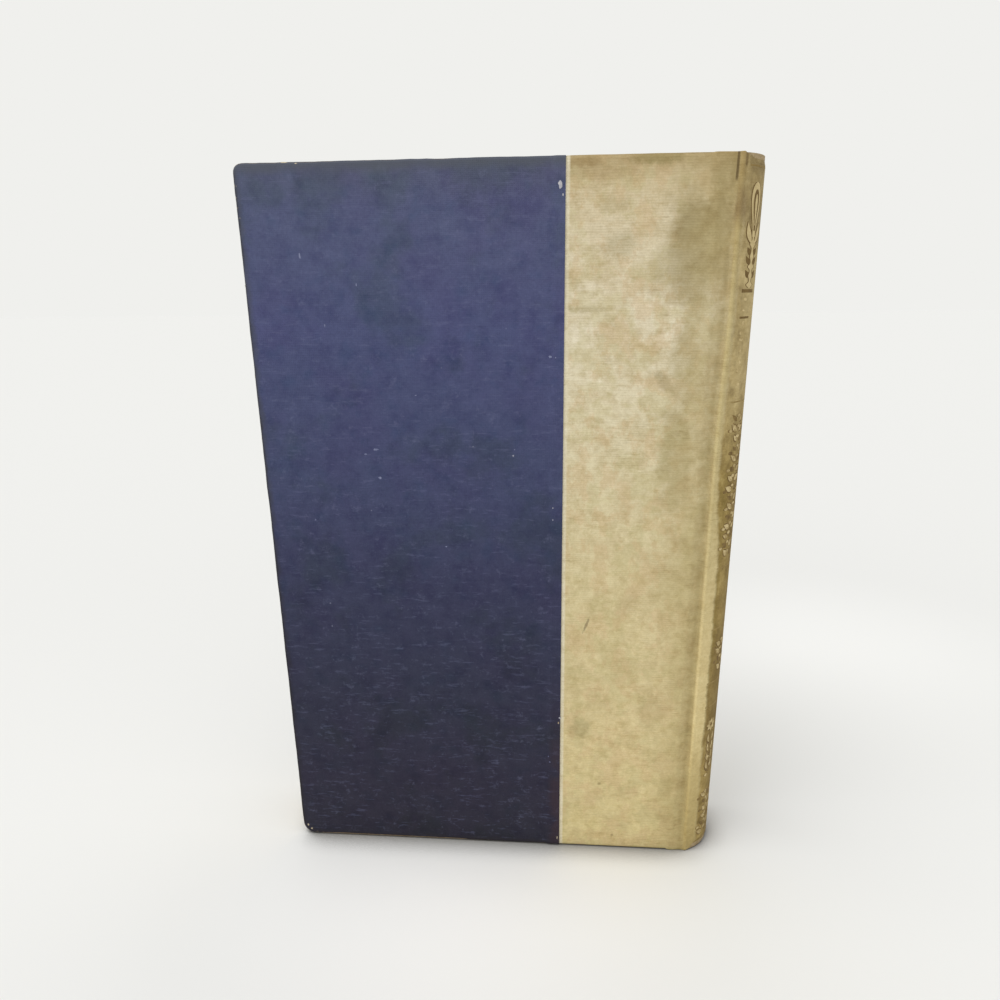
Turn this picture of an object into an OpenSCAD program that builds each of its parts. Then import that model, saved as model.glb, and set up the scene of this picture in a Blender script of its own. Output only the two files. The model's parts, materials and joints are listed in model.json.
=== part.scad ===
// A quarter-bound hardback book, standing on its tail, closed.
// Two cloth-covered boards hinge in French grooves on a rounded spine, around a text block of
// folded sections. X runs from the fore edge to the spine, Y from the back cover to the front
// cover and Z from tail to head. Millimetres. The origin is the middle of the book's foot.

/* [Cover boards] */
// Height of a covered board, tail to head
cover_h = 200; // [150:1:300]
// Width of a covered board, fore edge to joint
cover_w = 116.3; // [100:0.1:180]
// Thickness of the whole closed book over the laps of the side cloth
book_t = 23; // [20:0.5:40]
// Thickness of the bare board
board_t = 2.2; // [1.8:0.1:3]
// Rounding of the board's long outer edges
board_edge_r = 0.7; // [0.3:0.1:1.2]
// Worn rounding of a cover's corner at the head
head_corner_r = 2.4; // [1:0.1:5]
// Worn rounding of a cover's corner at the tail
tail_corner_r = 4; // [1:0.1:6]

/* [Cloth and paper] */
// Thickness of the book cloth
cloth_t = 0.3; // [0.2:0.05:0.4]
// Width of the dark side cloth, from the fore edge
side_w = 82.5; // [60:0.5:88]
// Width of the strip where the side cloth laps over the spine cloth
lap_w = 3; // [2:0.5:6]
// Depth of the cloth turned in around the boards and the spine
turn_in_w = 15; // [10:1:20]
// Thickness of one endpaper sheet
paper_t = 0.15; // [0.1:0.05:0.3]
// Thickness of a glue line
glue_t = 0.02; // [0.01:0.01:0.05]
// Margin of turned-in cloth left bare around a pastedown
pastedown_margin = 3; // [2:0.5:6]

/* [French groove] */
// Radius of the groove's visible trough, which is centred on the hinge axis
groove_r = 2.4; // [2:0.1:3.2]
// How far the hinge axis stands proud of the cover's lapped face
axis_out = 0.6; // [0.3:0.1:1]
// Inner radius of the doubled cloth where it bends over the ridge beside the spine
ridge_bend_r = 0.2; // [0.1:0.05:0.6]
// Direction from the hinge axis to the ridge, measured from +X, in degrees
ridge_dir = 33; // [28:1:40]
// Direction in which the trough's cloth ends beside the board, in degrees
trough_end_dir = 160; // [150:1:165]
// Running gap between a cover's edge and the trough
joint_gap = 0.3; // [0.3:0.05:0.6]

/* [Spine] */
// How far the spine's crown stands beyond the hinge axes
crown_out = 11.1; // [9.5:0.1:14]
// Thickness of the spine inlay card
inlay_t = 0.35; // [0.25:0.05:0.6]
// Angle between the inlay's edge and the ridge, in degrees
inlay_stop = 2; // [1:0.5:4]
// Hollow between the spine and the lined text block, at the crown
crown_hollow = 0.5; // [0.3:0.1:1.5]
// Hollow between the spine and the lined text block, at the shoulders
shoulder_hollow = 0.15; // [0.1:0.05:0.3]

/* [Text block] */
// Square: how far the covers stand beyond the block at head, tail and fore edge
square_w = 3; // [2:0.5:5]
// Gap between a closed cover and the text block's flyleaf
cover_gap = 0.3; // [0.2:0.05:0.6]
// Depth of the hollow in the fore edge
fore_hollow = 3.6; // [2:0.1:5]
// Angle between the block's shoulder tip and the inlay's edge, in degrees
tip_back = 4.6; // [3:0.2:8]
// Length along X over which the outer sections bend up into the shoulder
shoulder_run = 4.9; // [3:0.1:7]
// Number of folded sections sewn together
sections = 16; // [10:1:24]
// Depth of the valley between two section folds
fold_valley = 0.3; // [0.15:0.05:0.4]

/* [Linings, thread and bands] */
// Thickness of the mull glued on the sections' folds
mull_t = 0.2; // [0.15:0.05:0.3]
// Distance from the block's head and tail to the mull
mull_stop = 12; // [8:1:20]
// Width of the mull's flange on each board
flange_w = 24; // [15:1:30]
// Thickness of the paper lining over the mull
lining_t = 0.2; // [0.15:0.05:0.3]
// Distance from the block's head and tail to the paper lining
lining_stop = 0.5; // [0.2:0.1:2]
// Radius of the sewing thread
thread_r = 0.2; // [0.15:0.05:0.25]
// Number of rows of sewing across the folds
sewing_rows = 6; // [4:1:8]
// Distance from the block's head and tail to the outer rows of sewing
sewing_stop = 14; // [14:1:25]
// Radius of a headband's bead
bead_r = 0.75; // [0.5:0.05:1]
// Height of a headband's tape on the back of the text block
band_tape_h = 9; // [6:0.5:10]
// Angle between a headband's end and the shoulder tip, in degrees
band_stop = 5; // [2:0.5:10]

/* [Hidden] */

round_fn = 96;
thread_fn = 24;
past = 1;

// The ridge's cloth runs on into its neighbours, a hair proud of them, to make one sheet with them
ridge_run = 0.32;
ridge_proud = 0.03;

// Depths inside a cover, measured inwards from its lapped outer face
cloth_y = cloth_t;
hollow_y = cloth_y + cloth_t;
board_y = hollow_y + glue_t;
inner_y = board_y + board_t + glue_t;
turned_y = inner_y + cloth_t;
cover_t = turned_y + paper_t;
lap_x = side_w - lap_w;

// Hinge axis, in plan, on the back cover's side
axis_x = cover_w + joint_gap + 2 * cloth_t + groove_r;
axis_y = -book_t / 2 - axis_out;
axis_pt = [axis_x, axis_y];
book_l = axis_x + crown_out;

// The ridge touches the trough; the spine's arc touches the ridge and has its crown at book_l
ridge_r = ridge_bend_r + 2 * cloth_t;
ridge_pt = axis_pt + (groove_r + ridge_r) * [cos(ridge_dir), sin(ridge_dir)];
ridge_reach = book_l - ridge_r;
spine_x = (ridge_reach ^ 2 - ridge_pt * ridge_pt) / (2 * (ridge_reach - ridge_pt[0]));
spine_r = book_l - spine_x;
spine_pt = [spine_x, 0];
spine_half_a = atan2(-ridge_pt[1], ridge_pt[0] - spine_x);
inlay_half_a = spine_half_a - inlay_stop;

// The text block's back: an arc through two shoulder tips and a crown inside the spine
block_h = cover_h - 2 * square_w;
block_half = book_t / 2 - cover_t - cover_gap - paper_t;
spine_stack = 2 * cloth_t + inlay_t + lining_t + mull_t;
tip_a = inlay_half_a - tip_back;
tip_pt = spine_pt + (spine_r - spine_stack - shoulder_hollow) * [cos(tip_a), -sin(tip_a)];
back_rise = book_l - spine_stack - crown_hollow - tip_pt[0];
back_r = (tip_pt[1] ^ 2 + back_rise ^ 2) / (2 * back_rise);
back_pt = [tip_pt[0] + back_rise - back_r, 0];
back_half_a = atan2(-tip_pt[1], tip_pt[0] - back_pt[0]);
flank_pt = [tip_pt[0] - shoulder_run, -block_half];
fore_r = (block_half ^ 2 + fore_hollow ^ 2) / (2 * fore_hollow);

// Each section's fold is a round of this radius, with valleys fold_valley deep between folds
fold_step = 2 * back_half_a / sections;
fold_chord = back_r * sin(fold_step / 2);
fold_r = (fold_chord ^ 2 + fold_valley ^ 2) / (2 * fold_valley);

// The angle over which the mull's flange and its part on the folds run together
mull_lap_a = 0.5;

// Unit normal of the shoulder's flank, pointing out of the block, and its mitre with the side
flank_run = tip_pt - flank_pt;
flank_n = [flank_run[1], -flank_run[0]] / norm(flank_run);
side_n = [0, -1];
mitre = (side_n + flank_n) / (1 + side_n * flank_n);

// A ring sector about a vertical axis at point c, from z0 to z1
module arc_strip(c, r_in, r_out, a0, a1, z0, z1)
    translate([c[0], c[1], z0])
        rotate_extrude(angle = a1 - a0, start = a0, $fn = round_fn)
            translate([r_in, 0])
                square([r_out - r_in, z1 - z0]);

// A straight box given by its lowest and highest corners
module box(low, high)
    translate(low)
        cube(high - low);

// A shape drawn in X and Z, made solid from depth y0 to depth y1
module slab(y0, y1)
    translate([0, y1, 0])
        rotate([90, 0, 0])
            linear_extrude(y1 - y0)
                children();

// What is cut away outside a rounded corner at the origin of the first quadrant
module corner_cut(r)
    difference() {
        translate([-past, -past])
            square(r + past);
        translate([r, r])
            circle(r, $fn = round_fn);
    }

// Outline of a cover in X and Z, drawn in from its edges by inset
module cover_outline(inset)
    difference() {
        translate([inset, inset])
            square([cover_w - 2 * inset, cover_h - 2 * inset]);
        translate([inset, inset])
            corner_cut(tail_corner_r - inset);
        translate([inset, cover_h - inset])
            mirror([0, 1])
                corner_cut(head_corner_r - inset);
    }

// Section of a cover in plan, with its two long outer edges rounded
module cover_section(inset, y0, y1)
    difference() {
        translate([inset, y0])
            square([cover_w - 2 * inset, y1 - y0]);
        translate([inset, y0])
            corner_cut(board_edge_r + cloth_t - inset);
        translate([cover_w - inset, y0])
            mirror([1, 0])
                corner_cut(board_edge_r + cloth_t - inset);
    }

module cover_body(inset, y0, y1)
    intersection() {
        slab(y0, y1)
            cover_outline(inset);
        linear_extrude(cover_h)
            cover_section(inset, y0, y1);
    }

// Where the cloth isn't turned in on a board's inner face
module turn_in_window(grow, y0)
    box(
        [turn_in_w - grow, y0, turn_in_w - grow],
        [cover_w + past, turned_y + past, cover_h - turn_in_w + grow]
    );

// The cloth around a board, as one wrap from fore edge to joint
module cover_wrap()
    difference() {
        cover_body(0, cloth_y, turned_y);
        cover_body(cloth_t, hollow_y, inner_y);
        turn_in_window(0, inner_y);
    }

// Places what is drawn for a cover, with Y measured inwards from its outer face
module at_back()
    translate([-book_l / 2, -book_t / 2, 0])
        children();

module at_front()
    mirror([0, 1, 0])
        at_back()
            children();

// Places what is drawn about the book's middle plane, with X measured from the fore edge
module at_middle()
    translate([-book_l / 2, 0, 0])
        children();

module both_sides() {
    children();
    mirror([0, 1, 0])
        children();
}

module board()
    color("#a08c6c")
        cover_body(cloth_t + glue_t, board_y, board_y + board_t);

module mull_flange()
    color("#d9d2bd")
        box(
            [cover_w - cloth_t - flange_w, inner_y, square_w + mull_stop],
            [cover_w - cloth_t, inner_y + mull_t, cover_h - square_w - mull_stop]
        );

// The pastedown lies over the turned-in cloth and sinks onto the bare board inside it
module pastedown()
    color("#e3d9bf")
        difference() {
            union() {
                box(
                    [pastedown_margin, turned_y, pastedown_margin],
                    [cover_w, cover_t, cover_h - pastedown_margin]
                );
                box(
                    [turn_in_w, inner_y, turn_in_w],
                    [cover_w, cover_t, cover_h - turn_in_w]
                );
            }
            difference() {
                turn_in_window(-paper_t, inner_y + paper_t);
                box(
                    [cover_w - cloth_t - flange_w - paper_t, inner_y, 0],
                    [cover_w + past, inner_y + mull_t + paper_t, cover_h]
                );
            }
            box(
                [cover_w - cloth_t - flange_w, inner_y - past, square_w + mull_stop],
                [cover_w + past, inner_y + mull_t, cover_h - square_w - mull_stop]
            );
        }

module side_cloth()
    color("#434a6b") {
        intersection() {
            cover_wrap();
            box([-past, 0, -past], [lap_x, cover_t, cover_h + past]);
        }
        box([lap_x - cloth_t, 0, 0], [side_w, cloth_y, cover_h]);
    }

module quarter_cloth()
    color("#c4b083")
        intersection() {
            cover_wrap();
            box([lap_x, 0, -past], [cover_w + past, cover_t, cover_h + past]);
        }

// Spine cloth over trough and ridge, from its visible face to the depth t
module groove_layer(t, z0, z1) {
    run_a = ridge_run / ridge_r * 180 / PI;
    arc_strip(axis_pt, groove_r, groove_r + t, ridge_dir, trough_end_dir, z0, z1);
    arc_strip(
        ridge_pt, ridge_r - t + cloth_t / 2, ridge_r + ridge_proud,
        ridge_dir - 180 - run_a, -spine_half_a + run_a, z0, z1
    );
}

module spine_layer(off0, off1, half_a, z0, z1)
    arc_strip(spine_pt, spine_r - off1, spine_r - off0, -half_a, half_a, z0, z1);

// The cloth turned in over the inlay at the head or tail, between z0 and z1
module spine_turn_in(z0, z1, cap_z0, cap_z1) {
    turned = cloth_t + inlay_t;
    both_sides() {
        groove_layer(2 * cloth_t, z0, z1);
        arc_strip(
            spine_pt, spine_r - turned - cloth_t, spine_r - cloth_t,
            -spine_half_a, -inlay_half_a, z0, z1
        );
    }
    spine_layer(turned, turned + cloth_t, inlay_half_a, z0, z1);
    spine_layer(cloth_t, turned, inlay_half_a, cap_z0, cap_z1);
}

module spine_cloth()
    color("#ab9364")
        at_middle() {
            spine_layer(0, cloth_t, spine_half_a, 0, cover_h);
            both_sides()
                groove_layer(cloth_t, 0, cover_h);
            spine_turn_in(0, turn_in_w, 0, cloth_t);
            spine_turn_in(cover_h - turn_in_w, cover_h, cover_h - cloth_t, cover_h);
        }

module spine_inlay()
    color("#b9a685")
        at_middle()
            spine_layer(cloth_t, cloth_t + inlay_t, inlay_half_a, cloth_t, cover_h - cloth_t);

// The same point on the other side of the book's middle plane
function across(p) = [p[0], -p[1]];

// A point above the folds of the block's back, in plan
function on_back(above, a) = back_pt + (back_r + above) * [cos(a), sin(a)];

// A layer on the block's back arc, from r0 to r1 above the folds
module back_layer(r0, r1, half_a, z0, z1)
    arc_strip(back_pt, back_r + r0, back_r + r1, -half_a, half_a, z0, z1);

module block_plan()
    difference() {
        union() {
            polygon([
                [square_w, -block_half], flank_pt, tip_pt,
                across(tip_pt), across(flank_pt), [square_w, block_half]
            ]);
            intersection() {
                translate(back_pt)
                    circle(back_r - fold_valley, $fn = round_fn);
                polygon([
                    flank_pt, tip_pt, tip_pt + [back_r, 0],
                    across(tip_pt) + [back_r, 0], across(tip_pt), across(flank_pt)
                ]);
            }
            for (i = [0:sections - 1]) {
                fold_a = -back_half_a + (i + 0.5) * fold_step;
                translate(on_back(-glue_t - fold_r, fold_a))
                    circle(fold_r, $fn = round_fn);
            }
        }
        translate([square_w + fore_hollow - fore_r, 0])
            circle(fore_r, $fn = round_fn);
    }

function sewing_z(i) =
    square_w + sewing_stop + i * (block_h - 2 * sewing_stop) / (sewing_rows - 1);

module text_block()
    color("#e8dcc0")
        at_middle()
            difference() {
                translate([0, 0, square_w])
                    linear_extrude(block_h)
                        block_plan();
                for (i = [0:sewing_rows - 1])
                    back_layer(
                        -2 * thread_r, past, back_half_a,
                        sewing_z(i) - thread_r, sewing_z(i) + thread_r
                    );
            }

module sewing_thread()
    color("#efe9da")
        at_middle()
            for (i = [0:sewing_rows - 1])
                translate([back_pt[0], back_pt[1], sewing_z(i)])
                    rotate_extrude(
                        angle = 2 * (back_half_a - fold_step / 2),
                        start = -back_half_a + fold_step / 2, $fn = round_fn
                    )
                        translate([back_r - thread_r, 0])
                            circle(thread_r, $fn = thread_fn);

module mull_lining()
    color("#d9d2bd")
        at_middle() {
            z0 = square_w + mull_stop;
            z1 = cover_h - square_w - mull_stop;
            back_layer(0, mull_t, back_half_a, z0, z1);
            both_sides()
                translate([0, 0, z0])
                    linear_extrude(z1 - z0)
                        polygon([
                            flank_pt + paper_t * mitre,
                            tip_pt + paper_t * flank_n,
                            tip_pt,
                            on_back(mull_t / 2, -back_half_a + mull_lap_a),
                            on_back(mull_t, -back_half_a + mull_lap_a),
                            on_back(mull_t, -back_half_a),
                            tip_pt + (paper_t + mull_t) * flank_n,
                            flank_pt + (paper_t + mull_t) * mitre
                        ]);
        }

module paper_lining()
    color("#b89868")
        at_middle()
            back_layer(
                mull_t, mull_t + lining_t, back_half_a,
                square_w + lining_stop, cover_h - square_w - lining_stop
            );

// A stuck-on band: a beaded edge on the block's end and its tape down the back of the folds
module band_at_head()
    at_middle()
        translate([back_pt[0], back_pt[1], cover_h - square_w])
            rotate_extrude(
                angle = 2 * (back_half_a - band_stop),
                start = -back_half_a + band_stop, $fn = round_fn
            )
                union() {
                    translate([back_r, -band_tape_h])
                        square([mull_t, band_tape_h + bead_r]);
                    translate([back_r + mull_t - bead_r, bead_r])
                        circle(bead_r, $fn = round_fn);
                }

module headband()
    color("#b5473c")
        band_at_head();

module tailband()
    color("#b5473c")
        translate([0, 0, cover_h])
            mirror([0, 0, 1])
                band_at_head();

// A free endpaper leaf: flat on the block's side and up its shoulder's flank
module flyleaf()
    color("#e3d9bf")
        at_middle()
            translate([0, 0, square_w])
                linear_extrude(block_h)
                    polygon([
                        [square_w, -block_half],
                        flank_pt,
                        tip_pt,
                        tip_pt + paper_t * flank_n,
                        flank_pt + paper_t * mitre,
                        [square_w, -block_half - paper_t]
                    ]);

module back_flyleaf() flyleaf();
module front_flyleaf() mirror([0, 1, 0]) flyleaf();

module back_board() at_back() board();
module back_mull_flange() at_back() mull_flange();
module back_pastedown() at_back() pastedown();
module back_side_cloth() at_back() side_cloth();
module back_quarter_cloth() at_back() quarter_cloth();

module front_board() at_front() board();
module front_mull_flange() at_front() mull_flange();
module front_pastedown() at_front() pastedown();
module front_side_cloth() at_front() side_cloth();
module front_quarter_cloth() at_front() quarter_cloth();

text_block();
sewing_thread();
mull_lining();
paper_lining();
headband();
tailband();
front_flyleaf();
back_flyleaf();
spine_inlay();
spine_cloth();
front_board();
front_mull_flange();
front_pastedown();
front_side_cloth();
front_quarter_cloth();
back_board();
back_mull_flange();
back_pastedown();
back_side_cloth();
back_quarter_cloth();
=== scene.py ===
"""The looks of a quarter-bound hardback book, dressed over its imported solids.

Lengths are in millimetres here and become metres where a mesh is made. X runs from the fore edge
to the spine, Y from the back cover to the front cover and Z from tail to head.
"""
import json
import math
import random

import bpy
import numpy as np
from mathutils import Matrix, Vector, noise


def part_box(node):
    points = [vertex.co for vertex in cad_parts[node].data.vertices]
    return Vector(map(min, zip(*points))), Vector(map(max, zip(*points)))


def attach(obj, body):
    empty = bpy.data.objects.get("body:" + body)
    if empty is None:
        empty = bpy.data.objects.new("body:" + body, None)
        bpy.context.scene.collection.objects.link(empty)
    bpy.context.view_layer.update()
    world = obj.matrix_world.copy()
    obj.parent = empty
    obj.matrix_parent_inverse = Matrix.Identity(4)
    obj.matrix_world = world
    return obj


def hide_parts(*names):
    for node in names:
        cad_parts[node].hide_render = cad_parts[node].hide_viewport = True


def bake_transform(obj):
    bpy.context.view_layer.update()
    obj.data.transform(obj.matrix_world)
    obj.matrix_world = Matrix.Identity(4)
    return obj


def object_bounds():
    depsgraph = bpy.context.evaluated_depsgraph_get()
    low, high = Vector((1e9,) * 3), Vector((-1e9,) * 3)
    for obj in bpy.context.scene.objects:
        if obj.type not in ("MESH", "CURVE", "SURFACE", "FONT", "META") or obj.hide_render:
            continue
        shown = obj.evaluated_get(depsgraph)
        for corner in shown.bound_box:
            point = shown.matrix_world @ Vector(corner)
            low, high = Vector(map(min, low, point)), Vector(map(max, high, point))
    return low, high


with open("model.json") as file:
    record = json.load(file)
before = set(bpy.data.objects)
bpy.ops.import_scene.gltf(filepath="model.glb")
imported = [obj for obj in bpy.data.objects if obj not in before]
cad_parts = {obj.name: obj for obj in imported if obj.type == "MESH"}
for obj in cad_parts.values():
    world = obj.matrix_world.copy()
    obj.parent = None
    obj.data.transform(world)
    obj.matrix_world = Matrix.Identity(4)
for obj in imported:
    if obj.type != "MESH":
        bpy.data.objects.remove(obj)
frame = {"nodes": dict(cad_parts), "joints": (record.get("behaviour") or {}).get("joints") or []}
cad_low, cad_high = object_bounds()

MM = 0.001
HINGE = {joint["name"]: joint for joint in frame["joints"]}["front_cover_hinge"]["pos_m"]

# The book's sides, by the way that Y runs out from the middle plane
SIDES = {-1: "back", 1: "front"}

# The closed book, from the frame
FORE_X = cad_low.x / MM
CROWN_X = cad_high.x / MM
BOOK_H = cad_high.z / MM
HALF_T = cad_high.y / MM
AXIS_X = HINGE[0] / MM
AXIS_OUT = HINGE[1] / MM
JOINT_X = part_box("front_quarter_cloth")[1].x / MM
SIDE_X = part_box("front_side_cloth")[1].x / MM
LAP_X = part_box("front_quarter_cloth")[0].x / MM
LAP_STEP = (SIDE_X - 1.4, SIDE_X - 0.8)

# Cloth, board and paper, as the solids have them; a skin is a little thinner than its cloth
CLOTH_T = 0.3
SKIN_T = CLOTH_T - 0.02
JOINT_PAPER_T = 0.12
TURN_IN = 15.0
INNER_D = 3.14
EDGE_R = 1.0
INNER_EDGE_R = 0.5
HEAD_CORNER_R = 2.4
TAIL_CORNER_R = 4.0

# The side cloth's edge leans: nearer the spine at the tail than at the head
EDGE_SHIFT = 0.45
EDGE_LEAN = 1.15

# The case in plan: trough about the hinge axis, ridge and worn dip beside it, and the spine's arc
GROOVE_R = 2.4
RIDGE_R = 0.8
RIDGE_DIR = 33.0
TROUGH_X = AXIS_X + 1.4
TROUGH_DEPTH = 0.95
JOINT_LEAN = 0.8
JOINT_LEAN_Z = (128.0, 168.0)
DIP_X, DIP_WIDE, DIP_DEEP = 59.6, 0.55, 0.45
INLAY_T = 0.35
INLAY_STOP = 2.0
RIDGE_X = AXIS_X + (GROOVE_R + RIDGE_R) * math.cos(math.radians(RIDGE_DIR))
RIDGE_OUT = AXIS_OUT - (GROOVE_R + RIDGE_R) * math.sin(math.radians(RIDGE_DIR))
RIDGE_REACH = CROWN_X - RIDGE_R
SPINE_X = (RIDGE_REACH ** 2 - RIDGE_X ** 2 - RIDGE_OUT ** 2) / (2 * (RIDGE_REACH - RIDGE_X))
SPINE_R = CROWN_X - SPINE_X
SPINE_FACE_R = SPINE_R - 0.05
SPINE_HALF_A = math.degrees(math.atan2(RIDGE_OUT, RIDGE_X - SPINE_X))
SPLIT_A = SPINE_HALF_A - 5.0

# The text block in plan
BLOCK_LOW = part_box("text_block")[0].z / MM
BLOCK_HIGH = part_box("text_block")[1].z / MM
BLOCK_HALF = 7.76
BLOCK_FORE = 6.6
FORE_R = 10.16
FLANK_X = 52.92
TIP_X, TIP_OUT = 57.82, 9.28
BACK_X, BACK_R = 53.10, 10.34
LEAVES = 96
LEAF_RUN, LEAF_RISE = 24, 14

# The tooling's places on the spine's flank, round from the crown and up, and the heading that is up
PANEL_AT = 8.6
ROSETTE_AT, ROSETTE_Z = 8.2, 43.8
CROSSED_AT = 8.0
UP = math.radians(90)


def srgb(red, green, blue):
    """A colour written as it shows on screen, 0 to 255, as the shader wants it."""
    def linear(value):
        value /= 255
        return value / 12.92 if value <= 0.04045 else ((value + 0.055) / 1.055) ** 2.4
    return (linear(red), linear(green), linear(blue), 1.0)


def steps(low, high, spacing):
    """Even values from low to high, about spacing apart."""
    return np.linspace(low, high, max(2, int(round(abs(high - low) / spacing)) + 1))


def graded(start, *runs):
    """Values from start on through runs, each given as (its end, its spacing)."""
    values = [start]
    for end, spacing in runs:
        values.extend(steps(start, end, spacing)[1:])
        start = end
    return np.array(values)


def ease(value, low, high):
    """0 below low and 1 above high, with a smooth rise between them."""
    share = np.clip((value - low) / (high - low), 0, 1)
    return share * share * (3 - 2 * share)


def wander(x, y, z, size, seed):
    """Smooth noise from -1 to 1 whose lumps are about size across."""
    return noise.noise(Vector((x / size + 17.3 * seed, y / size - 9.1 * seed, z / size + 4.7 * seed)))


# Camera

def add_camera():
    """The photograph's camera, solved from the back cover's corners and edges."""
    lens, sensor = 25.63, 36.0
    tilt, yaw, roll = 0.29640, -0.07625, -0.01066
    place = Vector((14.11, -196.45, 171.19)) * MM
    level = Vector((math.cos(yaw), -math.sin(yaw), 0))
    forward = Vector((math.sin(yaw) * math.cos(tilt), math.cos(yaw) * math.cos(tilt), -math.sin(tilt)))
    upward = Vector((math.sin(tilt) * math.sin(yaw), math.sin(tilt) * math.cos(yaw), math.cos(tilt)))
    right = level * math.cos(roll) + upward * math.sin(roll)
    up = upward * math.cos(roll) - level * math.sin(roll)
    data = bpy.data.cameras.new("camera")
    data.lens = lens
    data.sensor_width = sensor
    data.clip_start, data.clip_end = 0.01, 10
    camera = bpy.data.objects.new("camera", data)
    bpy.context.scene.collection.objects.link(camera)
    camera.matrix_world = Matrix.Translation(place) @ Matrix((right, up, -forward)).transposed().to_4x4()
    bpy.context.scene.camera = camera


# Materials

WHITE = (255, 255, 255)


class Value:
    """A number or colour that a shader works out. Plain arithmetic on it adds math nodes."""

    def __init__(self, shader, socket):
        self.shader = shader
        self.socket = socket

    def __add__(self, other):
        return self.shader.math("ADD", self, other)

    def __sub__(self, other):
        return self.shader.math("SUBTRACT", self, other)

    def __rsub__(self, other):
        return self.shader.math("SUBTRACT", other, self)

    def __mul__(self, other):
        return self.shader.math("MULTIPLY", self, other)

    def __truediv__(self, other):
        return self.shader.math("DIVIDE", self, other)


class Shader:
    """A procedural material, with short ways to add and link its nodes. Its coordinates are in mm.

    Its colours are (red, green, blue) as they show on screen, and body is the colour so far."""

    def __init__(self, name, roughness=0.85, specular=0.3, own_rest=True):
        self.material = bpy.data.materials.new(name)
        self.material.use_nodes = True
        self.tree = self.material.node_tree
        self.body = WHITE
        self.surface = self.tree.nodes["Principled BSDF"]
        self.surface.inputs["Roughness"].default_value = roughness
        self.surface.inputs["Specular IOR Level"].default_value = specular
        if own_rest:
            self.place = self.add("Attribute", "Vector", attribute_name="rest")
        else:
            metres = self.add("TexCoord", "Object")
            self.place = self.add("VectorMath", 0, {0: metres, "Scale": 1 / MM}, operation="SCALE")
        axes = self.add("SeparateXYZ", 0, {0: self.place}).socket.node.outputs
        self.x, self.y, self.z = (Value(self, axis) for axis in axes)

    def add(self, kind, output, inputs=None, **settings):
        """A new node of a kind, with its inputs and settings, as the value of one of its outputs."""
        node = self.tree.nodes.new("ShaderNode" + kind)
        for key, setting in settings.items():
            setattr(node, key, setting)
        for key, value in (inputs or {}).items():
            self.put(value, node.inputs[key])
        return Value(self, node.outputs[output])

    def put(self, value, socket):
        """Links a worked-out value to a socket, or sets a plain number or colour there."""
        if isinstance(value, Value):
            self.tree.links.new(value.socket, socket)
        else:
            socket.default_value = srgb(*value) if socket.type == "RGBA" else value

    def math(self, operation, first, second=0.0):
        return self.add("Math", 0, {0: first, 1: second}, operation=operation)

    def mix(self, share, first, second, blend="MIX"):
        return self.add("Mix", 2, {0: share, 6: first, 7: second}, data_type="RGBA", blend_type=blend)

    def rise(self, value, low, high, bottom=0.0, top=1.0):
        """A smooth step from bottom at low to top at high. Low may be above high."""
        if low > high:
            low, high, bottom, top = high, low, top, bottom
        inputs = {"Value": value, "From Min": low, "From Max": high, "To Min": bottom, "To Max": top}
        return self.add("MapRange", 0, inputs, interpolation_type="SMOOTHSTEP")

    def band(self, value, low, high, soft):
        """1 where the value lies between low and high, and 0 beyond a soft margin."""
        return self.rise(value, low - soft, low) * self.rise(value, high + soft, high)

    def stretched(self, scale):
        """The place, with each axis scaled, so that noise can run along one of them."""
        return self.add("VectorMath", 0, {0: self.place, 1: scale}, operation="MULTIPLY")

    def noise(self, size, detail=3.0, rough=0.55, stretch=(1, 1, 1), shift=0.0):
        """Noise from 0 to 1 whose lumps are about size across, drawn out by stretch."""
        place = self.stretched(tuple(1 / (size * s) for s in stretch))
        inputs = {"Vector": place, "W": shift, "Scale": 1.0, "Detail": detail, "Roughness": rough}
        return self.add("TexNoise", "Fac", inputs, noise_dimensions="4D")

    def cells(self, size):
        """Distance to the nearest of many points, scattered about size apart, and that point's own chance."""
        inputs = {"Vector": self.stretched((1 / size, 1 / size, 1 / size)), "Scale": 1.0}
        distance = self.add("TexVoronoi", "Distance", inputs)
        colour = Value(self, distance.socket.node.outputs["Color"])
        return distance, self.add("SeparateColor", 0, {0: colour})

    def threads(self, along, pitch, wobble=0.0):
        """Ribs from 0 to 1 across one coordinate, with a pitch, bent a little by wobble."""
        turn = along * (2 * math.pi / pitch)
        if wobble:
            turn = turn + self.noise(3.0, 2.0, shift=5.0) * wobble
        return self.math("SINE", turn) * 0.5 + 0.5

    def ramp(self, value, stops):
        """Colours along a value: stops are (place from 0 to 1, colour)."""
        ramped = self.add("ValToRGB", 0, {0: value})
        elements = ramped.socket.node.color_ramp.elements
        while len(elements) < len(stops):
            elements.new(0.5)
        for element, (place, colour) in zip(elements, stops):
            element.position = place
            element.color = srgb(*colour)
        return ramped

    def coat(self, share, colour):
        """Lays a colour over the body, by a share from 0 to 1."""
        self.body = self.mix(share, self.body, colour)

    def tint(self, share, colour):
        """Multiplies the body by a colour, by a share from 0 to 1."""
        self.coat(share, self.mix(1.0, self.body, colour, "MULTIPLY"))

    def shade(self, share, value, stops):
        """Multiplies the body by colours along a value, by a share from 0 to 1."""
        self.body = self.mix(share, self.body, self.ramp(value, stops), "MULTIPLY")

    def stain(self, x, z, wide, tall, lean):
        """A soft ragged patch on the back cover's side of the book, 1 at its middle."""
        along = self.z - z
        across = (self.x - x - along * lean) / wide
        along = along / tall
        uneven = self.noise(max(0.6, min(wide, tall) * 0.8), 4.0, 0.6, shift=x) - 0.5
        reach = self.math("SQRT", across * across + along * along) + uneven * 1.4
        return self.rise(reach, 1.0, 0.3) * self.math("LESS_THAN", self.y, 0.0)

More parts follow.
